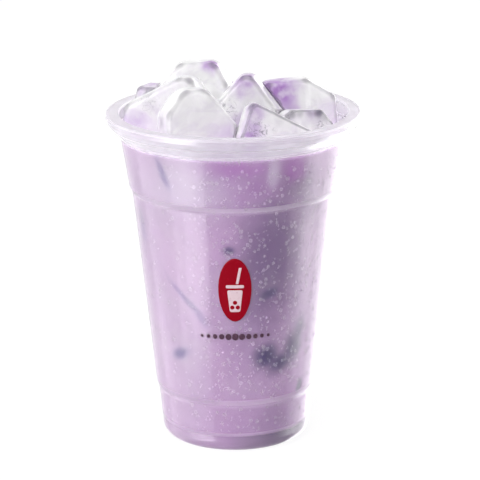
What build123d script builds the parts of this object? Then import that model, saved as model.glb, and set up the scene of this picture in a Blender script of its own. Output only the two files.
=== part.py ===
from build123d import *
import math
import os

# A cup of iced taro bubble tea: a thin plastic cup with a thick lip, the drink inside it and the
# lumps of ice that stand out of the drink. Millimetres, +Z up; the origin is the middle of the
# cup's underside. Levels near the foot are measured up from the base, and levels near the lip
# are measured down from its top, so that the plain main wall takes up a change of height.

# Cup: overall sizes and walls
cup_height = 125.4
lip_radius = 47.5
foot_radius = 27.9
wall = 0.6
floor_wall = 0.9

# Cup: base and lower bands
heel_round = 4.0
rest_ring_inner = 20.0
base_recess = 1.6
foot_height = 6.8
foot_step = 0.3
band_flare = 1.0
lower_step_level = 18.0
lower_step_rise = 3.2
lower_step_out = 1.0

# Cup: upper step and upper band
upper_step_depth = 29.9
upper_step_rise = 2.4
upper_step_out = 1.15
upper_band_slope = 0.157
step_round = 0.7

# Cup: neck and lip
neck_depth = 8.9
neck_bead = 0.35
neck_bead_height = 0.9
lip_overhang = 5.4
lip_band = 5.0
lip_face = 2.3
lip_face_round = 0.4
lip_underside_depth = 4.1
lip_underside_in = 1.1
lip_underside_round = 1.4
lip_top_round = 0.9

# Drink: its surface lies this far below the top of the lip
headroom = 9.4

# Ice: the same for every lump
ice_edge_round = 2.6
ice_edge_share = 0.8
ice_draft = 7.0
ice_clearance = 0.4
ice_space_above = 40.0

# Ice: each lump's own sizes, then its place. A lump stands at a bearing and a reach (a share of
# the neck's radius), its foot sunk below the drink's surface, with its turn, lean back and roll
# in degrees. Where two lumps have frozen together, the earlier one here cuts the later.
ice = {
    "ice_front_right": (
        dict(width=30, thick=12, tall=24.5, crown=2.6, skew=-8.5, left_shoulder=12,
             right_shoulder=12, corner=2.4),
        dict(bearing=-57, reach=0.69, sunk=6.5, turn=14, lean=14, roll=0),
    ),
    "ice_right": (
        dict(width=21, thick=15, tall=17.5, crown=13, skew=-1, left_shoulder=15,
             right_shoulder=11, corner=2.6),
        dict(bearing=-18, reach=0.66, sunk=6, turn=20, lean=16, roll=4),
    ),
    "ice_front_left": (
        dict(width=30, thick=19, tall=29.5, crown=10.5, skew=-3, left_shoulder=20,
             right_shoulder=14, corner=6.5),
        dict(bearing=-120, reach=0.58, sunk=7, turn=15, lean=13, roll=2),
    ),
    "ice_middle": (
        dict(width=30, thick=18, tall=32.5, crown=4.6, skew=-1, left_shoulder=20,
             right_shoulder=15, corner=4.0),
        dict(bearing=-22, reach=0.16, sunk=9, turn=-4, lean=12, roll=0),
    ),
    "ice_left": (
        dict(width=31, thick=17, tall=30.5, crown=6, skew=9, left_shoulder=19,
             right_shoulder=24, corner=4.5),
        dict(bearing=178, reach=0.62, sunk=8, turn=-12, lean=12, roll=0),
    ),
    "ice_back_right": (
        dict(width=32, thick=15, tall=28.7, crown=16, skew=-3, left_shoulder=22,
             right_shoulder=21, corner=4.0),
        dict(bearing=18, reach=0.61, sunk=9, turn=8, lean=10, roll=-4),
    ),
    "ice_back_left": (
        dict(width=32, thick=18, tall=33.3, crown=15, skew=3.5, left_shoulder=20,
             right_shoulder=24, corner=5.0),
        dict(bearing=130, reach=0.56, sunk=9, turn=-6, lean=10, roll=-3),
    ),
    "ice_far_left": (
        dict(width=15, thick=14, tall=24, crown=8, skew=-1, left_shoulder=16,
             right_shoulder=17, corner=3.0),
        dict(bearing=151, reach=0.81, sunk=8, turn=-40, lean=4, roll=0),
    ),
    "ice_back": (
        dict(width=27, thick=17, tall=21, crown=15, skew=2, left_shoulder=15,
             right_shoulder=16, corner=4.0),
        dict(bearing=82, reach=0.72, sunk=8, turn=170, lean=6, roll=0),
    ),
    "ice_back_edge": (
        dict(width=28, thick=15, tall=20, crown=14, skew=-3, left_shoulder=14,
             right_shoulder=12, corner=3.6),
        dict(bearing=43, reach=0.79, sunk=8, turn=134, lean=8, roll=5),
    ),
}

# What follows from the sizes above
surface_level = cup_height - headroom
neck_level = cup_height - neck_depth
neck_radius = lip_radius - lip_overhang
mouth_radius = lip_radius - lip_band
upper_step_level = cup_height - upper_step_depth
upper_band_foot_level = upper_step_level + upper_step_rise
upper_band_foot = neck_radius - upper_band_slope * (neck_level - upper_band_foot_level)
main_wall_top = upper_band_foot - upper_step_out
band_foot = foot_radius + foot_step
band_top = band_foot + band_flare
main_wall_foot = band_top + lower_step_out


def revolved(outline):
    """A solid of revolution about Z, from corners given as (radius, height, rounding)."""
    points = [(radius, 0, height) for radius, height, _ in outline]
    rounds = [rounding for _, _, rounding in outline]
    edge = FilletPolyline(*points, radius=rounds, close=True)
    return revolve(make_face(edge), Axis.Z, 360)


def side(inset):
    """The cup's side from the top of the foot to the upper band, moved in by inset."""
    return [
        (foot_radius - inset, foot_height, 0),
        (band_foot - inset, foot_height + foot_step, 0),
        (band_top - inset, lower_step_level, step_round),
        (main_wall_foot - inset, lower_step_level + lower_step_rise, step_round),
        (main_wall_top - inset, upper_step_level, step_round),
        (upper_band_foot - inset, upper_band_foot_level, step_round),
    ]


def outer_form():
    """The cup as if it were solid: recessed base, stepped side, neck bead and lip."""
    bead_radius = neck_radius + neck_bead
    lip_corner = lip_radius - lip_underside_in
    return revolved([
        (0, base_recess, 0),
        (rest_ring_inner - base_recess, base_recess, 0),
        (rest_ring_inner, 0, 0),
        (foot_radius, 0, heel_round),
        *side(0),
        (neck_radius, neck_level, 0),
        (bead_radius, neck_level + neck_bead, 0),
        (bead_radius, neck_level + neck_bead_height, 0),
        (lip_corner, cup_height - lip_underside_depth, lip_underside_round),
        (lip_radius, cup_height - lip_face, lip_face_round),
        (lip_radius, cup_height, lip_top_round),
        (0, cup_height, 0),
    ])


def bore():
    """The space inside the cup, up to the top of the lip."""
    recess_edge = rest_ring_inner - floor_wall / 2
    return revolved([
        (0, base_recess + floor_wall, 0),
        (recess_edge - base_recess, base_recess + floor_wall, 0),
        (recess_edge, floor_wall, 0),
        (foot_radius - wall, floor_wall, heel_round - wall),
        *side(wall),
        (neck_radius - wall, neck_level, 0),
        (mouth_radius, cup_height, 0),
        (0, cup_height, 0),
    ])


def ice_space():
    """Where ice may lie: the upper band of the bore and the air above it, clear of the wall."""
    inset = wall + ice_clearance
    rim = mouth_radius - ice_clearance
    return revolved([
        (0, upper_band_foot_level, 0),
        (upper_band_foot - inset, upper_band_foot_level, 0),
        (neck_radius - inset, neck_level, 0),
        (rim, cup_height, 0),
        (rim, cup_height + ice_space_above, 0),
        (0, cup_height + ice_space_above, 0),
    ])


def ice_lump(width, thick, tall, crown, skew, left_shoulder, right_shoulder, corner):
    """A half-melted block that stands on Z = 0. Its sides rise to the shoulders and slope in to
    a crown moved sideways by skew; it is widest midway through its thickness, and its front
    and back edges are rounded as far as its corners leave room."""
    half = width / 2
    outline = FilletPolyline(
        (-half, 0, 0),
        (half, 0, 0),
        (half, 0, right_shoulder),
        (skew + crown / 2, 0, tall),
        (skew - crown / 2, 0, tall),
        (-half, 0, left_shoulder),
        radius=corner,
        close=True,
    )
    block = extrude(make_face(outline), thick / 2, both=True, taper=ice_draft)
    end_corner = corner - thick / 2 * math.tan(math.radians(ice_draft))
    ends = block.faces().filter_by(Axis.Y)
    return fillet(ends.edges(), min(ice_edge_round, ice_edge_share * end_corner))


def in_place(lump, bearing, reach, sunk, turn, lean, roll):
    """A lump moved to its place in the mouth of the cup."""
    distance = reach * neck_radius
    angle = math.radians(bearing)
    spot = Pos(distance * math.cos(angle), distance * math.sin(angle), surface_level - sunk)
    return spot * Rot(Z=turn) * Rot(X=-lean) * Rot(Y=roll) * lump


def main_piece(shape):
    """The largest solid of a shape, without chips that a cut has left."""
    return shape.solids().sort_by(SortBy.VOLUME)[-1]


inside = bore()
cup = outer_form() - inside
top_circles = cup.edges().filter_by(GeomType.CIRCLE).group_by(Axis.Z)[-1]
cup = fillet(top_circles.sort_by(SortBy.RADIUS)[0], lip_top_round)

drink = split(inside, Plane.XY.offset(surface_level), keep=Keep.BOTTOM)
space = ice_space()
lumps = {}
for name, (sizes, place) in ice.items():
    lump = in_place(ice_lump(**sizes), **place) & space
    for neighbour in lumps.values():
        lump = lump - neighbour
    lumps[name] = main_piece(lump)
    drink = drink - lumps[name]

parts = {"cup": main_piece(cup), "drink": main_piece(drink), **lumps}
os.makedirs("parts", exist_ok=True)
for name, solid in parts.items():
    export_step(solid, f"parts/{name}.step")
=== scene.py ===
import math
import random

import bmesh
import bpy
from mathutils import Matrix, Vector, noise
from mathutils.bvhtree import BVHTree


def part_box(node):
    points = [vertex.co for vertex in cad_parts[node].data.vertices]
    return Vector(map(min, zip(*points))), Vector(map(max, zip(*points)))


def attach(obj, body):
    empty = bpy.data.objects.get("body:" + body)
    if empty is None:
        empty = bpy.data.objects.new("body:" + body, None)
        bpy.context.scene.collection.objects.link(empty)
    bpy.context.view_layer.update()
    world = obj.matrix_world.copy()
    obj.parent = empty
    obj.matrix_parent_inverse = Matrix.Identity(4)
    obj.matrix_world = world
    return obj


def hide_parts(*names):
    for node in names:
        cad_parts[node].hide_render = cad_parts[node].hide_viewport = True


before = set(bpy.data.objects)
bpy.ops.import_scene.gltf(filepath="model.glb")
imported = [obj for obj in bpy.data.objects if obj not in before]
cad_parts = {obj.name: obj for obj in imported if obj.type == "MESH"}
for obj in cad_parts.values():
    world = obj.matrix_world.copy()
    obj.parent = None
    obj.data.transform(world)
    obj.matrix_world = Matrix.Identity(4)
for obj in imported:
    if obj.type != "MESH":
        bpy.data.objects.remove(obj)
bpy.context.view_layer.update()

# --- Cup --------------------------------------------------------------------------------------
# One thin injection moulding in semi-clear polypropylene: a thick rolled lip, a neck bead, a
# stepped band at its top and foot, and a plain base. It is milky where it is thick, and mist
# from the cold drink lies on its outside. The extra milk on its left is a painted sheen, and a
# painted highlight line runs along each crease.

mm = 0.001


class Value:
    """An output of a node. A sum of values adds the Math nodes that work it out."""

    def __init__(self, paint, socket):
        self.paint = paint
        self.socket = socket

    def maths(self, operation, first, second):
        """Adds the Math node for one step of an expression."""
        return self.paint.node("Math", {"operation": operation}, {0: first, 1: second})

    def __add__(self, other):
        return self.maths("ADD", self, other)

    def __radd__(self, other):
        return self.maths("ADD", other, self)

    def __sub__(self, other):
        return self.maths("SUBTRACT", self, other)

    def __rsub__(self, other):
        return self.maths("SUBTRACT", other, self)

    def __mul__(self, other):
        return self.maths("MULTIPLY", self, other)

    def __rmul__(self, other):
        return self.maths("MULTIPLY", other, self)


class Paint:
    """The nodes of one material, or of the world."""

    def __init__(self, owner):
        self.owner = owner
        self.owner.use_nodes = True
        self.tree = self.owner.node_tree
        self.tree.nodes.clear()

    def node(self, kind, settings, sockets, output=0):
        """Adds a node of this type. Its settings go in before its sockets are filled."""
        made = self.tree.nodes.new("ShaderNode" + kind)
        for name, value in settings.items():
            setattr(made, name, value)
        for key, value in sockets.items():
            if isinstance(value, Value):
                self.tree.links.new(value.socket, made.inputs[key])
            else:
                made.inputs[key].default_value = value
        return Value(self, made.outputs[output]) if len(made.outputs) else None

    def place(self):
        """Where a point of the surface is, in metres."""
        return self.node("TexCoord", {}, {}, "Object")

    def along(self, axis):
        """One of the three numbers of that place."""
        return self.node("SeparateXYZ", {}, {"Vector": self.place()}, axis)

    def noise(self, size, detail=3.0, stretch=(1, 1, 1), swirl=0.0):
        """Soft noise from 0 to 1, with lumps about size metres across."""
        spot = self.node(
            "VectorMath", {"operation": "MULTIPLY"}, {0: self.place(), 1: stretch}
        )
        sockets = {"Vector": spot, "Scale": 1 / size, "Detail": detail, "Distortion": swirl}
        return self.node("TexNoise", {}, sockets)

    def between(self, value, low, high):
        """0 below low and 1 above high, or the other way round, with a soft step between."""
        start, end = (0.0, 1.0) if low < high else (1.0, 0.0)
        low, high = min(low, high), max(low, high)
        sockets = {
            "Value": value,
            "From Min": low,
            "From Max": high,
            "To Min": start,
            "To Max": end,
        }
        return self.node("MapRange", {"interpolation_type": "SMOOTHSTEP"}, sockets)

    def drawn(self, name):
        """A number that the mesh carries at each of its points."""
        return self.node("Attribute", {"attribute_name": name}, {}, "Fac")

    def mixed(self, factor, first, second):
        """A colour between two colours."""
        return self.node("Mix", {"data_type": "RGBA"}, {0: factor, 6: first, 7: second}, 2)

    def bump(self, height, depth):
        """A normal for relief that is depth metres from its lowest to its highest."""
        return self.node("Bump", {}, {"Height": height, "Distance": depth})

    def principled(self, **sockets):
        """The main shader, with its sockets named with _ for each space."""
        named = {name.replace("_", " "): value for name, value in sockets.items()}
        return self.node("BsdfPrincipled", {}, named)

    def blend(self, factor, first, second):
        """A shader between two shaders."""
        return self.node("MixShader", {}, {0: factor, 1: first, 2: second})

    def lit_through(self, shader):
        """Lets the lamps' rays pass, so that what lies behind clear plastic or ice is lit."""
        shadow = self.node("LightPath", {}, {}, "Is Shadow Ray")
        return self.blend(shadow, shader, self.node("BsdfTransparent", {}, {}))

    def finish(self, shader):
        """Puts this shader on the material, and gives the material."""
        self.node("OutputMaterial", {}, {"Surface": shader})
        return self.owner


def tint(red, green, blue):
    """A colour by its 0 to 255 screen values, as the linear colour that a shader takes."""
    levels = [level / 255 for level in (red, green, blue)]
    linear = [s / 12.92 if s <= 0.04045 else ((s + 0.055) / 1.055) ** 2.4 for s in levels]
    return (*linear, 1.0)


drink_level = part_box("drink")[1].z
plastic_ior = 1.49
crease_highlights = [  # the creases, each with its level, how far it spreads and how much milkier it is, as a painted highlight line
    (97.2 * mm, 1.4 * mm, 0.2),  # the upper step
    (20.6 * mm, 1.6 * mm, 0.14),  # the lower step
    (7.2 * mm, 1.0 * mm, 0.1),  # the foot step
    (117.2 * mm, 0.8 * mm, 0.15),  # the foot of the neck
    (120.7 * mm, 0.6 * mm, 0.3),  # the neck bead
    (124.9 * mm, 0.7 * mm, 0.4),  # the top of the lip
]


def cup_plastic():
    """Clear plastic, with a milkier kind blended in for mist, thickness, painted sheen and
    highlights.
    """
    paint = Paint(bpy.data.materials.new("cup_plastic"))
    height = paint.along("Z")
    # painted sheen: more milk on the left of the wall
    left = paint.between(paint.along("X"), -3 * mm, -20 * mm)
    patchy = paint.between(paint.noise(16 * mm, 4.0), 0.42, 0.7)
    dry_foot = 1 - 0.5 * paint.between(height, 40 * mm, 10 * mm)
    mist_and_painted_sheen = (0.05 + 0.12 * left + 0.07 * patchy) * dry_foot
    above = paint.between(height, drink_level - 0.2 * mm, drink_level + 2 * mm)
    crease = 0.0
    milky_and_painted_light = mist_and_painted_sheen + 0.3 * above
    # painted highlight: each crease is milkier along a thin line
    for level, spread, share in crease_highlights:
        rise = paint.between(height, level - spread, level)
        fold = rise * paint.between(height, level + spread, level)
        crease = crease + fold
        milky_and_painted_light = milky_and_painted_light + share * fold * (1 - 0.5 * left)
    flow = paint.bump(paint.noise(11 * mm, 2.0), 0.02 * mm)
    clear = paint.principled(
        Base_Color=paint.mixed(above, tint(250, 247, 252), tint(235, 231, 239)),
        Roughness=0.22 - 0.08 * above + 0.25 * crease,
        IOR=plastic_ior,
        Transmission_Weight=1.0,
        Normal=flow,
    )
    white = paint.principled(
        Base_Color=paint.mixed(above, tint(244, 241, 246), tint(232, 227, 235)),
        Roughness=0.32,
        IOR=plastic_ior,
        Normal=flow,
    )
    return paint.finish(paint.lit_through(paint.blend(milky_and_painted_light, clear, white)))


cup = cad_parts["cup"]
cup.data.materials.clear()
cup.data.materials.append(cup_plastic())

# --- Drink ------------------------------------------------------------------------------------
# Taro milk tea: opaque lilac milk, unevenly stirred, richest just under its surface and paler
# lower down. Sunk lumps of ice lie against the wall and show through a thin veil of milk as
# soft patches, most of them darker. It is poured in, and its side reaches just into the wall.
# Painted shade darkens its foot, more on the right, and part of its darker stirring, and painted
# highlight lines run along it under the cup's two steps.

# Every patch has its bearing from the front, its level, its half length and half width in
# millimetres, its lean from upright in degrees and its strength.
sunk_ice = [
    (-3.1, 81.6, 2.2, 1.6, 90, 0.85),
    (21.1, 63.9, 3.4, 1.7, 72, 0.85),
    (21, 38.8, 5.0, 4.8, 60, 1.0),
    (31, 35.6, 6.2, 4.2, 80, 0.9),
    (41.5, 40.5, 6.4, 4.2, 16, 0.85),
    (46, 46.5, 6, 2.6, 12, 0.7),
    (51.5, 23.4, 2.8, 1.4, 25, 0.95),
    (112, 78, 7, 2.5, 30, 0.5),
    (150, 51, 6, 4.5, 70, 0.7),
    (187, 92, 5, 1.6, -35, 0.5),
    (214, 34, 4.5, 3.2, 20, 0.65),
    (246, 62, 8, 1.4, -40, 0.45),
]
violet_ice = [  # sunk ice that shows bluer, through the mist on the left
    (-39.2, 109.5, 6.2, 1.5, -20, 0.8),
    (-67, 85, 6.5, 2.4, 0, 0.35),
    (-31, 60.5, 9.5, 1.1, -47, 0.65),
    (-22, 54, 4, 1.0, -38, 0.5),
    (-40.1, 38.6, 4.2, 2.0, 63, 1.0),
]
pale_ice = [  # ice near the surface, and the thin milk beside it
    (20.3, 111.5, 5.8, 2.3, 0, 0.95),
    (-27, 104, 9, 19, 0, 0.75),
    (170, 108, 6, 3, 30, 0.5),
]
stir_and_painted_shade = [  # where the tea is strongest, and partly painted shade right of the front and near the foot
    (22, 78, 26, 13, 6, 1.0),
    (34, 105, 9, 11, 0, 0.7),
    (36, 96, 10, 13, 0, 0.6),
    (34, 12, 9, 7, 90, 0.3),
    (18, 104, 14, 9, 90, 0.3),
    (205, 70, 30, 14, 0, 0.6),
]
rich_stir = [  # where the taro is strongest
    (2, 113.0, 12, 3.5, 90, 0.6),
    (10, 105, 11, 6.5, 90, 0.35),
    (33, 111.5, 5, 5, 0, 0.75),
    (54, 28, 24, 9, 0, 0.32),
    (120, 110, 30, 6, 90, 0.6),
    (230, 109, 26, 7, 90, 0.6),
]


def patches(spots, bearing, level, across):
    """How strongly the strongest of these patches shows at a point of the drink's side."""
    most = 0.0
    for at, height, long_half, wide_half, lean, strength in spots:
        side = math.radians((bearing - at + 180) % 360 - 180) * across / mm
        rise = level / mm - height
        turn = math.radians(lean)
        lengthwise = (rise * math.cos(turn) + side * math.sin(turn)) / long_half
        crosswise = (side * math.cos(turn) - rise * math.sin(turn)) / wide_half
        ragged = 1 + 0.35 * noise.noise(Vector((side / 4, rise / 4, at)))
        reach = (lengthwise ** 2 + crosswise ** 2) * ragged
        most = max(most, strength * math.exp(-(reach ** 1.5) * 0.9))
    return most


def faces_of(node):
    """A CAD node's surface, to find where a ray meets it."""
    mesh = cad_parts[node].data
    corners = [vertex.co.copy() for vertex in mesh.vertices]
    return BVHTree.FromPolygons(corners, [list(face.vertices) for face in mesh.polygons])


cup_surface = faces_of("cup")


def outward(bearing):
    """The level direction at this bearing, in degrees from the front towards the right."""
    turn = math.radians(bearing)
    return Vector((math.sin(turn), -math.cos(turn), 0))


def new_piece(name, points, faces, material):
    """A piece of the object from points in metres, riding on the cup."""
    mesh = bpy.data.meshes.new(name)
    mesh.from_pydata(points, [], faces)
    mesh.validate()
    mesh.materials.append(material)
    mesh.polygons.foreach_set("use_smooth", [True] * len(mesh.polygons))
    piece = bpy.data.objects.new(name, mesh)
    bpy.context.scene.collection.objects.link(piece)
    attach(piece, "root")
    return piece


def carry(mesh, name, numbers):
    """Stores one number at each point of a mesh for its material."""
    mesh.attributes.new(name, "FLOAT", "POINT").data.foreach_set("value", numbers)


def taro_milk_tea():
    """Milk coloured by the stirring and patches, painted shade, and painted highlights at the
    creases.
    """
    paint = Paint(bpy.data.materials.new("taro_milk_tea"))
    height = paint.along("Z")
    right = paint.between(paint.along("X"), -6 * mm, 18 * mm)
    stir = paint.between(paint.noise(30 * mm, 4.0, (1, 1, 0.45), 0.6), 0.3, 0.7)
    colour = paint.mixed(stir, tint(199, 165, 204), tint(176, 141, 186))
    settled = paint.between(height, 70 * mm, 30 * mm)
    colour = paint.mixed(settled * 0.3, colour, tint(206, 177, 211))
    # stronger tea, and in part painted shade, from the deep patches
    colour = paint.mixed(paint.drawn("deep"), colour, tint(122, 88, 140))
    colour = paint.mixed(paint.drawn("rich"), colour, tint(172, 98, 184))
    colour = paint.mixed(paint.drawn("pale"), colour, tint(206, 190, 213))
    colour = paint.mixed(paint.drawn("violet"), colour, tint(76, 4, 146))
    colour = paint.mixed(paint.drawn("sunk"), colour, tint(54, 22, 104))
    # painted shade: the foot is darkened and greyed, more on the right
    foot = paint.between(height, 7.2 * mm, 6.2 * mm)
    colour = paint.mixed(foot * (0.08 + 0.62 * right), colour, tint(88, 78, 106))
    # painted highlight: a paler line in the milk under each of the cup's two steps
    for lowest, highest in ((94.6 * mm, 97.8 * mm), (17.2 * mm, 20.8 * mm)):
        middle = (lowest + highest) / 2
        ledge = paint.between(height, lowest, middle) * paint.between(height, highest, middle)
        colour = paint.mixed(ledge * (0.4 + 0.1 * right), colour, tint(230, 208, 234))
    specks = paint.between(paint.noise(2.2 * mm, 2.0), 0.66, 0.8)
    colour = paint.mixed(specks * 0.2, colour, tint(230, 212, 236))
    body = paint.principled(Base_Color=colour, Roughness=0.42, Specular_IOR_Level=0.15)
    return paint.finish(body)


into_wall = 0.16 * mm  # how far the drink's side reaches into the plastic
heart = Vector((0, 0, 20 * mm))  # a point inside, from which the rounded foot is found
foot_steps = 40  # how finely the mesh is cut along its foot, up its side, across its surface
side_steps = 130
surface_rings = 24
turns = 240  # and round the cup
profile = []  # how far out and how high the drink's side runs, from its foot to its surface
for step in range(foot_steps + 1):
    fall = math.radians(-90 + 90 * step / foot_steps)
    way = outward(0) * math.cos(fall) + Vector((0, 0, math.sin(fall)))
    far = cup_surface.ray_cast(heart, way)[3] + into_wall
    profile.append((far * math.cos(fall), heart.z + far * math.sin(fall)))
for step in range(1, side_steps + 1):
    level = heart.z + (drink_level - heart.z) * step / side_steps
    far = cup_surface.ray_cast(Vector((0, 0, level)), outward(0))[3] + into_wall
    profile.append((far, level))
rim = profile[-1][0]
points = [Vector((0, 0, profile[0][1]))]
for out, level in profile[1:]:
    points += [outward(360 * turn / turns) * out + Vector((0, 0, level)) for turn in range(turns)]
for ring in range(1, surface_rings):
    out = rim * (1 - ring / surface_rings)
    for turn in range(turns):
        spot = outward(360 * turn / turns) * out
        ripple = 0.25 * mm * (noise.noise(spot * 220) - 0.9)
        points.append(spot + Vector((0, 0, drink_level + ripple * min(1, ring / 2))))
points.append(Vector((0, 0, drink_level - 0.2 * mm)))
rings = (len(points) - 2) // turns
faces = [(0, 1 + (turn + 1) % turns, 1 + turn) for turn in range(turns)]
for ring in range(rings - 1):
    for turn in range(turns):
        near, far = 1 + ring * turns, 1 + (ring + 1) * turns
        after = (turn + 1) % turns
        faces.append((near + turn, near + after, far + after, far + turn))
last = 1 + (rings - 1) * turns
faces += [(last + turn, last + (turn + 1) % turns, len(points) - 1) for turn in range(turns)]
drink = new_piece("milk_tea", points, faces, taro_milk_tea())
bare_middle = 20 * mm  # nothing is drawn on the surface and the foot nearer to the axis than this
for name, spots in (
    ("sunk", sunk_ice),
    ("violet", violet_ice),
    ("pale", pale_ice),
    ("deep", stir_and_painted_shade),
    ("rich", rich_stir),
):
    numbers = []
    for point in points:
        out = math.hypot(point.x, point.y)
        bearing = math.degrees(math.atan2(point.x, -point.y))
        drawn = out > bare_middle
        numbers.append(patches(spots, bearing, point.z, out) if drawn else 0.0)
    carry(drink.data, name, numbers)
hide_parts("drink")

# --- Ice --------------------------------------------------------------------------------------
# Ten half-melted blocks heaped above the rim, each resting in the drink and on its neighbours.
# They are clear at their rounded edges, cloudy inside, and stained lilac where milk clings.
# Painted shade darkens lines along their ridges, their undersides, a few edges and the clear
# ice at their rims.

# Every spot has its place within the lump's own box, from 0 to 1 across, deep and up, its radius
# in millimetres and its strength.
stains = {  # where milk clings
    "ice_back_left": [(0.74, 0.31, 0.975, 3.8, 1.25), (0.15, 0.5, 0.6, 7, 0.15)],
    "ice_far_left": [(0.41, 0.5, 0.98, 5.5, 0.75)],
    "ice_left": [(0.15, 0.27, 0.42, 6, 0.5), (0.5, 0.3, 0.75, 8, 0.1)],
    "ice_front_left": [(0.08, 0.3, 0.7, 5, 0.2), (0.85, 0.2, 0.45, 6, 0.35)],
    "ice_middle": [(0.45, 0.35, 1.0, 7.5, 0.9), (0.37, 0.16, 0.45, 6, 0.45)],
    "ice_back_right": [
        (0.2, 0.25, 0.93, 7, 1.0),
        (0.33, 0.2, 0.86, 7, 1.0),
        (0.38, 0.16, 0.72, 5.5, 0.8),
        (0.9, 0.25, 0.5, 7, 0.35),
    ],
    "ice_front_right": [(0.25, 0.3, 0.9, 4.5, 0.6), (0.2, 0.2, 0.6, 5, 0.85)],
    "ice_right": [(0.62, 0.29, 0.95, 4, 0.4), (0.3, 0.2, 0.75, 4, 0.3)],
    "ice_back": [(0.4, 0.8, 0.8, 8, 0.6)],
    "ice_back_edge": [(0.6, 0.7, 0.8, 7, 0.6)],
}
painted_edge_shade_spots = {  # painted shade on the few dark edges, where an edge turns the light away
    "ice_right": [
        (0.28, 0.12, 0.95, 2.2, 0.6),
        (0.45, 0.12, 0.97, 2.2, 0.65),
        (0.6, 0.15, 0.96, 2.4, 0.8),
        (0.75, 0.3, 0.95, 2.6, 0.8),
        (0.88, 0.3, 0.85, 2.4, 0.6),
    ],
    "ice_front_right": [(0.2, 0.35, 0.98, 2.2, 0.6)],
    "ice_front_left": [(0.02, 0.3, 0.6, 2.4, 0.4)],
    "ice_left": [(0.02, 0.3, 0.62, 2.4, 0.35)],
    "ice_back_edge": [(0.5, 0.9, 0.95, 3.0, 0.5)],
}
cracks = {  # where a lump is crazed and glints
    "ice_middle": [(0.2, 0.2, 0.6, 4.5, 1.0), (0.55, 0.15, 0.5, 3, 0.7)],
    "ice_front_right": [(0.3, 0.2, 0.55, 5, 1.0), (0.75, 0.2, 0.5, 3, 0.8)],
    "ice_right": [(0.8, 0.3, 0.7, 3, 0.8)],
    "ice_left": [(0.3, 0.25, 0.7, 4, 0.5)],
    "ice_back_edge": [(0.4, 0.8, 0.7, 4, 0.6)],
    "ice_back": [(0.6, 0.8, 0.6, 4, 0.6)],
}
ice_ior = 1.31


def spotted(spots, low, high, start):
    """How strongly the strongest of a lump's spots shows at one of its points."""
    most = 0.0
    for across, deep, up, radius, strength in spots:
        spot = Vector((
            low.x + (high.x - low.x) * across,
            low.y + (high.y - low.y) * deep,
            low.z + (high.z - low.z) * up,
        ))
        gap = (start - spot).length / (radius * mm) + 0.35 * noise.noise(start * 300)
        most = max(most, strength * math.exp(-max(0, gap) ** 3))
    return most


def melting_ice():
    """Clear edges, cloudy inside, with what the mesh carries (painted shade among it) drawn on
    both.
    """
    paint = Paint(bpy.data.materials.new("melting_ice"))
    edge = paint.drawn("edge")
    # painted shade: darker and frostier where the ice faces down
    painted_underside_shade = paint.drawn("painted_underside_shade")
    # painted shade: dark spots on a few edges
    painted_edge_shade = paint.drawn("painted_edge_shade")
    crazed = paint.drawn("crack")
    # painted shade: a thin dark line along each ridge
    painted_ridge_shade = paint.drawn("line") * paint.between(paint.noise(14 * mm, 2.0), 0.22, 0.44)
    patchy = paint.between(paint.noise(5 * mm), 0.35, 0.6)
    stain = paint.drawn("stain") * (0.55 + 0.45 * patchy)
    cloud = paint.between(paint.noise(12 * mm, 5.0, (1, 1, 0.6), 0.8), 0.36, 0.66)
    core = (0.82 + 0.18 * cloud) * (1 - 0.8 * paint.between(edge, 0.2, 0.7))
    # the painted shade marks also make the ice frostier where they lie
    whiteness = core + 0.3 * stain + 0.5 * painted_ridge_shade + 0.3 * painted_edge_shade + 0.3 * painted_underside_shade
    grain = paint.noise(3.5 * mm, 2.0, (1, 1, 1), 1.6)
    veins = paint.between(grain, 0.46, 0.5) * paint.between(grain, 0.54, 0.5) * crazed
    pitted = paint.noise(4.5 * mm, 4.0) + 2.5 * crazed * paint.noise(1.6 * mm, 2.0)
    relief = paint.bump(pitted, 0.05 * mm)
    body = paint.mixed(stain, tint(252, 253, 252), tint(200, 170, 214))
    # painted shade: the clearest ice at the rim is tinted grey
    clear = paint.principled(
        Base_Color=paint.mixed(paint.between(edge, 0.5, 1.0), body, tint(196, 192, 202)),
        Roughness=0.02,
        IOR=ice_ior,
        Specular_IOR_Level=0.3,
        Transmission_Weight=1.0,
        Normal=relief,
    )
    depth = paint.between(paint.noise(9 * mm, 4.0, (1, 0.6, 1.4), 1.4), 0.44, 0.64)
    lit = paint.mixed(depth * 0.28, tint(255, 255, 255), tint(224, 216, 232))
    lit = paint.mixed(stain, lit, tint(172, 126, 198))
    # painted shade: ridge lines, undersides and dark edges darken the frosty ice; the veins are
    # its cracks
    painted_shade = painted_ridge_shade * 0.56 + painted_underside_shade * 0.26
    darkest = paint.node("Math", {"operation": "MAXIMUM"}, {0: painted_shade, 1: painted_edge_shade})
    dark = paint.node("Math", {"operation": "MAXIMUM"}, {0: darkest, 1: veins * 0.65})
    frosty = paint.principled(
        Base_Color=paint.mixed(dark, lit, tint(66, 58, 86)),
        Roughness=0.2,
        IOR=ice_ior,
        Specular_IOR_Level=0.3,
        Coat_Weight=0.06 + 0.8 * crazed,
        Coat_Roughness=0.04,
        Normal=relief,
    )
    return paint.finish(paint.lit_through(paint.blend(whiteness, clear, frosty)))


def shaped(piece, steps):
    """A new mesh, which is the piece's mesh as these modifiers leave it."""
    for kind, settings in steps:
        modifier = piece.modifiers.new(kind.lower(), kind)
        for name, value in settings.items():
            setattr(modifier, name, value)
    ready = piece.evaluated_get(bpy.context.evaluated_depsgraph_get())
    mesh = bpy.data.meshes.new_from_object(ready)
    piece.modifiers.clear()
    return mesh


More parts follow.
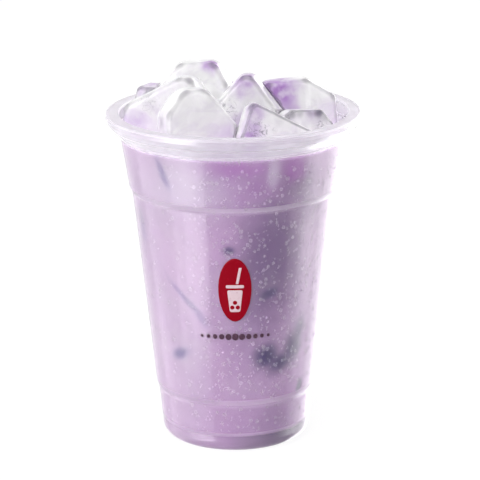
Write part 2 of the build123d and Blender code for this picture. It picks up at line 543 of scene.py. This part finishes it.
def drop_crumbs(mesh):
    """Deletes the loose crumbs that the remesh leaves beside a lump's thin corners."""
    shape = bmesh.new()
    shape.from_mesh(mesh)
    seen = set()
    parts = []
    for start in shape.verts:
        if start in seen:
            continue
        seen.add(start)
        part = [start]
        for vertex in part:
            for edge in vertex.link_edges:
                other = edge.other_vert(vertex)
                if other not in seen:
                    seen.add(other)
                    part.append(other)
        parts.append(part)
    parts.sort(key=len)
    crumbs = [vertex for part in parts[:-1] for vertex in part]
    bmesh.ops.delete(shape, geom=crumbs, context="VERTS")
    shape.to_mesh(mesh)
    shape.free()


def smoothed(iterations):
    """A step for shaped() that rounds a mesh's edges."""
    return ("SMOOTH", {"factor": 0.5, "iterations": iterations})


def how_far(value, start, end):
    """0 at the start, 1 at the end, and the share of the way between them."""
    return min(1.0, max(0.0, (value - start) / (end - start)))


voxel = ("REMESH", {"mode": "VOXEL", "voxel_size": 0.55 * mm})
wave_depth = 0.4 * mm
pit_depth = 0.1 * mm
splash = 7 * mm  # how far above the drink the milk still wets a lump
ice_material = melting_ice()
for number, node in enumerate(sorted(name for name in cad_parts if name.startswith("ice"))):
    lump = bpy.data.objects.new(node + "_lump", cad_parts[node].data.copy())
    bpy.context.scene.collection.objects.link(lump)
    lump.data = shaped(lump, [voxel, smoothed(3)])
    drop_crumbs(lump.data)
    softer = shaped(lump, [smoothed(6)])
    rounder = shaped(lump, [smoothed(60)])
    low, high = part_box(node)
    mesh = lump.data
    starts = [vertex.co.copy() for vertex in mesh.vertices]
    normals = [vertex.normal.copy() for vertex in mesh.vertices]
    drawn = {name: [] for name in ("edge", "line", "painted_underside_shade", "stain", "painted_edge_shade", "crack")}
    # An edge is wide and soft, a line of painted shade runs thinly along its middle and fades at
    # the corners, and painted shade lies where the surface faces down.
    for vertex, start, normal in zip(mesh.vertices, starts, normals):
        stands_out = (start - rounder.vertices[vertex.index].co).dot(normal)
        sharp = (start - softer.vertices[vertex.index].co).dot(normal)
        on_edge = how_far(sharp, 0.031 * mm, 0.051 * mm)
        on_corner = how_far(sharp, 0.055 * mm, 0.08 * mm)
        wet = how_far(start.z, drink_level + splash, drink_level)
        drawn["edge"].append(how_far(stands_out, 0.1 * mm, 0.55 * mm))
        drawn["line"].append(on_edge * (1 - 0.85 * on_corner))
        drawn["painted_underside_shade"].append(how_far(-normal.z, 0.1, 0.6))
        drawn["stain"].append(max(spotted(stains[node], low, high, start), 0.16 * wet))
        drawn["painted_edge_shade"].append(spotted(painted_edge_shade_spots.get(node, []), low, high, start))
        drawn["crack"].append(spotted(cracks.get(node, []), low, high, start))
        waves = 0.5 + 0.5 * noise.noise(start * 120 + Vector((number, 0, 0)))
        pits = 0.5 + 0.5 * noise.noise(start * 420 + Vector((0, number, 0)))
        vertex.co = start - normal * (wave_depth * waves + pit_depth * pits)
    for name, numbers in drawn.items():
        carry(mesh, name, numbers)
    mesh.materials.clear()
    mesh.materials.append(ice_material)
    mesh.polygons.foreach_set("use_smooth", [True] * len(mesh.polygons))
    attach(lump, "root")
    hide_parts(node)

# --- Condensation -----------------------------------------------------------------------------
# Small low drops of water that have settled on the cold outside of the cup, thickest in front
# and to the right. Each is a closed dome whose foot sits just inside the wall, ringed with a
# painted highlight.


def water():
    """A faint pale painted highlight over what lies behind, strongest in a ring near a drop's
    foot.
    """
    paint = Paint(bpy.data.materials.new("water_drops"))
    pale = paint.principled(Base_Color=tint(250, 238, 253), Roughness=0.45, IOR=1.6)
    share = 0.06 + 0.13 * paint.drawn("ring") * (0.4 + 1.2 * paint.noise(6 * mm))
    return paint.finish(paint.blend(share, paint.node("BsdfTransparent", {}, {}), pale))


def wall_at(bearing, level):
    """The point on the cup's outside at this bearing and level, and the way it faces."""
    way = outward(bearing)
    start = way * 60 * mm + Vector((0, 0, level))
    spot, normal, _, _ = cup_surface.ray_cast(start, -way)
    return spot, normal if normal.dot(way) > 0 else -normal


def add_drop(points, faces, rings, spot, normal, radius, height, longer):
    """Adds one closed dome to a mesh in the making, and each point's painted rim highlight.

    It is longer times as tall as it is wide, and height proud of the wall.
    """
    side = Vector((0, 0, 1)).cross(normal).normalized()
    up = normal.cross(side).normalized()
    sides = 12 if radius > 0.4 * mm else 8
    first = len(points)
    rows = [(1.1, 0.6), (0.94, 1.0), (0.7, 0.3), (0.36, 0.1)]  # share of the radius, strength of the painted rim highlight
    for share, pale in rows:
        rings += [pale] * sides
        proud = height * (1 - share ** 2)
        for turn in range(sides):
            angle = 2 * math.pi * turn / sides
            flat = side * math.cos(angle) + up * math.sin(angle) * longer
            points.append(spot + flat * radius * share + normal * proud)
    rings += [0.0, 0.5]
    points.append(spot + normal * height)
    points.append(spot - normal * height * 0.3)
    for row in range(len(rows) - 1):
        for turn in range(sides):
            near, far = first + row * sides, first + (row + 1) * sides
            after = (turn + 1) % sides
            faces.append((near + turn, near + after, far + after, far + turn))
    top = first + (len(rows) - 1) * sides
    for turn in range(sides):
        after = (turn + 1) % sides
        faces.append((top + turn, top + after, len(points) - 2))
        faces.append((first + after, first + turn, len(points) - 1))


chance = random.Random(11)
drop_count = 1700
lowest = 8
highest = 113
thickest = 14  # the bearing where the drops stand closest
thick_half = 34  # how many degrees on each side of it are as thick
thinning = 30  # over how many degrees they thin out
thinnest = 0.22  # how many stand at the back, as a share
points, faces, rings, settled = [], [], [], []
while len(settled) < drop_count:
    bearing = chance.uniform(-180, 180)
    level = chance.uniform(lowest, highest) * mm
    aside = abs((bearing - thickest + 180) % 360 - 180)
    crowded = 1.0 if aside < thick_half else max(thinnest, 1 - (aside - thick_half) / thinning)
    if level < 24 * mm or bearing < -20:
        crowded *= 0.5
    if chance.random() > crowded:
        continue
    size = 0.26 + 0.5 * chance.random() ** 3
    spot, normal = wall_at(bearing, level)
    on_ledge = abs(normal.z) > 0.5
    on_badge = (bearing / 11.5) ** 2 + ((level / mm - 66) / 13.5) ** 2 < 1
    on_dots = abs(bearing) < 26 and abs(level / mm - 47.6) < 2
    if on_ledge or on_badge or on_dots:
        continue
    if any((spot - other).length < (size + wide) * 1.05 * mm for other, wide in settled):
        continue
    settled.append((spot, size))
    longer = chance.uniform(1, 1.2)
    add_drop(points, faces, rings, spot, normal, size * mm, 0.2 * size * mm, longer)
water_drops = water()
drops = new_piece("condensation", points, faces, water_drops)
carry(drops.data, "ring", rings)

# --- Neck beads -------------------------------------------------------------------------------
# A line of very fine drops that has gathered in the groove under the cup's lip, at the level of
# the cold drink. They are the same low domes of water, and stand closest in front.

bead_count = 560
points, faces, rings = [], [], []
for count in range(bead_count):
    bearing = chance.gauss(4, 15) if chance.random() < 0.6 else chance.uniform(-180, 180)
    level = drink_level + chance.gauss(0.0, 0.7) * mm
    spot, normal = wall_at(bearing, level)
    size = chance.uniform(0.1, 0.26)
    add_drop(points, faces, rings, spot, normal, size * mm, 0.4 * size * mm, 1.0)
beads = new_piece("neck_beads", points, faces, water_drops)
carry(beads.data, "ring", rings)

# --- Print ------------------------------------------------------------------------------------
# A plain printed badge on the front of the cup: a crimson oval with a pale tumbler, its lid
# and straw, and a row of small dark dots beneath it. It is screen-printed ink, made as thin
# closed skins that start just inside the wall. Sizes here are in millimetres.


def ink(name, colour, worn):
    """Matt ink, a little lighter where its grain is thin."""
    paint = Paint(bpy.data.materials.new(name))
    grain = paint.between(paint.noise(1.2 * mm, 3.0), 0.55, 0.75)
    shade = paint.mixed(grain, colour, worn)
    return paint.finish(paint.principled(Base_Color=shade, Roughness=0.6, Specular_IOR_Level=0.05))


def oval(across, level, half_width, half_height, sides):
    """An oval outline round this place, which is across from the front's middle."""
    angles = [2 * math.pi * side / sides for side in range(sides)]
    return [
        (across + half_width * math.cos(angle), level + half_height * math.sin(angle))
        for angle in angles
    ]


def block(corners, rounding):
    """An outline with rounded corners, from its corners in turn."""
    steps = 5  # how many straight runs make a rounded corner
    longest = 0.6  # the longest run that is left before it is divided
    outline = []
    for index, corner in enumerate(corners):
        here = Vector(corner)
        before = (Vector(corners[index - 1]) - here).normalized() * rounding
        after = (Vector(corners[(index + 1) % len(corners)]) - here).normalized() * rounding
        for step in range(steps + 1):
            share = step / steps
            outline.append(here + before * (1 - share) ** 2 + after * share ** 2)
    fine = []
    for index, spot in enumerate(outline):
        after = outline[(index + 1) % len(outline)]
        parts = math.ceil((after - spot).length / longest)
        fine += [tuple(spot.lerp(after, part / parts)) for part in range(parts)]
    return fine


def add_skin(points, faces, outline, proud, rows):
    """Adds a thin closed skin that follows the wall and stands this far proud of it."""
    girth = math.hypot(*wall_at(0, outline[0][1] * mm)[0].xy) / mm
    centre = sum((Vector(spot) for spot in outline), Vector((0, 0))) / len(outline)
    sides = len(outline)
    layers = []
    for depth in (proud, -buried):
        layers.append(len(points))
        for row in range(rows + 1):
            for spot in outline if row else outline[:1]:
                across, level = centre.lerp(Vector(spot), row / rows)
                foot, normal = wall_at(math.degrees(across / girth), level * mm)
                points.append(foot + normal * depth * mm)
    for start, flip in zip(layers, (False, True)):
        for turn in range(sides):
            after = (turn + 1) % sides
            corner = (start, start + 1 + turn, start + 1 + after)
            faces.append(corner[::-1] if flip else corner)
            for row in range(rows - 1):
                near, far = start + 1 + row * sides, start + 1 + (row + 1) * sides
                four = (near + turn, far + turn, far + after, near + after)
                faces.append(four[::-1] if flip else four)
    for turn in range(sides):
        after = (turn + 1) % sides
        upper, lower = layers[0] + 1 + (rows - 1) * sides, layers[1] + 1 + (rows - 1) * sides
        faces.append((upper + turn, lower + turn, lower + after, upper + after))


crimson = ink("crimson_ink", tint(158, 0, 28), tint(170, 8, 40))
pale = ink("pale_ink", tint(240, 214, 222), tint(226, 190, 202))
brown = ink("brown_ink", tint(92, 66, 84), tint(120, 92, 110))
buried = 0.05  # how far below the wall's face a skin starts
first_coat = 0.05  # how far proud of that face each coat of ink stands
second_coat = 0.08
third_coat = 0.1

points, faces = [], []
add_skin(points, faces, oval(0, 66.2, 6.1, 12.4, 72), first_coat, 14)
new_piece("badge_oval", points, faces, crimson)

tumbler = [(-1.9, 57.6), (1.9, 57.6), (2.8, 66.2), (-2.8, 66.2)]
lid = [(-3.3, 67.0), (3.3, 67.0), (3.3, 68.2), (-3.3, 68.2)]
straw = [(0.3, 68.6), (1.3, 68.6), (2.5, 75.0), (1.5, 75.0)]
points, faces = [], []
for corners, rounding, rows in ((tumbler, 0.8, 8), (lid, 0.5, 5), (straw, 0.3, 4)):
    add_skin(points, faces, block(corners, rounding), second_coat, rows)
new_piece("badge_tumbler", points, faces, pale)

points, faces = [], []
for across, level in ((-1.0, 59.4), (1.0, 59.4), (0, 61.3)):
    add_skin(points, faces, oval(across, level, 0.8, 0.8, 20), third_coat, 3)
new_piece("badge_pearls", points, faces, crimson)

dots_each_side = 5
dot_gap = 2.5
points, faces = [], []
for step in range(-dots_each_side, dots_each_side + 1):
    width = 1.25 - 0.13 * abs(step)
    add_skin(points, faces, oval(dot_gap * step, 47.6, width, width * 1.1, 20), first_coat, 3)
new_piece("dot_row", points, faces, brown)

# --- Studio -----------------------------------------------------------------------------------
# A pale table and an even white surround. A soft window on the left and a soft lamp overhead
# light everything. The seven lamps round the cup show only in its gloss, brightest on the left,
# where a weaker one beside the strongest lets its highlight fade out in two steps.

aim = Vector((0.00209, 0, 0.07507))  # the point that the camera looks at
stand = Vector((0, -0.85, 0.32323))  # where the camera stands, about 16 degrees above the aim
roll = math.radians(-0.47)
camera_data = bpy.data.cameras.new("camera")
camera_data.lens = 175.97
camera_data.sensor_width = 36
camera = bpy.data.objects.new("camera", camera_data)
bpy.context.scene.collection.objects.link(camera)
forward = (aim - stand).normalized()
right = forward.cross(Vector((0, 0, 1))).normalized()
up = right.cross(forward)
camera_axes = (
    right * math.cos(roll) + up * math.sin(roll),
    up * math.cos(roll) - right * math.sin(roll),
    -forward,
)
camera.matrix_world = Matrix.Translation(stand) @ Matrix(camera_axes).transposed().to_4x4()
bpy.context.scene.camera = camera

white = (1, 1, 1, 1)
paint = Paint(bpy.data.materials.new("table"))
seen = paint.node("LightPath", {}, {}, "Is Camera Ray")
through = paint.node("LightPath", {}, {}, "Is Transmission Ray")
matt = paint.node("BsdfDiffuse", {}, {"Color": (0.86, 0.86, 0.87, 1)})
glow = paint.node("Emission", {}, {"Color": white, "Strength": 1.12})
share = paint.node("Math", {"operation": "MAXIMUM"}, {0: seen, 1: through}) * 0.8
half = 6  # metres from the table's middle to its edges
corners = [(-half, -half, 0), (half, -half, 0), (half, half, 0), (-half, half, 0)]
table_mesh = bpy.data.meshes.new("table")
table_mesh.from_pydata(corners, [], [(0, 1, 2, 3)])
table_mesh.materials.append(paint.finish(paint.blend(share, matt, glow)))
table = bpy.data.objects.new("table", table_mesh)
bpy.context.scene.collection.objects.link(table)
table.visible_glossy = False

surround = bpy.data.worlds.new("surround")
bpy.context.scene.world = surround
paint = Paint(surround)
shown = 0.0
for kind in ("Is Camera Ray", "Is Glossy Ray", "Is Transmission Ray"):
    shown = shown + paint.node("LightPath", {}, {}, kind)
strength = 0.6 + 0.4 * paint.between(shown, 0.0, 1.0)
backdrop = paint.node("Background", {}, {"Color": white, "Strength": strength})
paint.node("OutputWorld", {}, {"Surface": backdrop})


def softbox(name, bearing, distance, height, width, tall, radiance, sheen=False):
    """A rectangular lamp facing the cup. A sheen lamp shows in gloss and lights nothing matt."""
    overhead = distance < 0.5
    data = bpy.data.lights.new(name, "AREA")
    data.shape = "RECTANGLE"
    data.size = width
    data.size_y = tall
    data.energy = radiance * math.pi * width * tall
    lamp = bpy.data.objects.new(name, data)
    lamp.visible_diffuse = not sheen
    lamp.visible_transmission = not sheen
    lamp.location = outward(bearing) * distance + Vector((0, 0, height))
    facing = Vector((0, 0, 60 * mm)) - lamp.location
    if not overhead:
        facing.z = 0
    lamp.rotation_euler = facing.to_track_quat("-Z", "Y").to_euler()
    bpy.context.scene.collection.objects.link(lamp)


softbox("tall_left", -47, 1.0, 0.155, 0.48, 1.39, 13.0, True)
softbox("tall_start", -68, 1.0, 0.155, 0.27, 1.39, 5.0, True)
softbox("wide_left", -98, 1.0, -0.1, 0.85, 1.9, 2.0, True)
softbox("behind_left", -138, 1.0, -0.1, 0.9, 1.9, 0.5, True)
softbox("right_start", 75, 1.0, 0.175, 0.26, 1.35, 2.0, True)
softbox("right_side", 97, 1.0, 0.175, 0.5, 1.35, 4.8, True)
softbox("behind_right", 139, 1.0, -0.1, 0.95, 1.9, 3.5, True)
softbox("window", -62, 1.1, 0.55, 1.0, 1.0, 1.4)
softbox("overhead", -20, 0.3, 1.1, 0.9, 0.9, 1.65)

bpy.context.scene.view_settings.view_transform = "Standard"
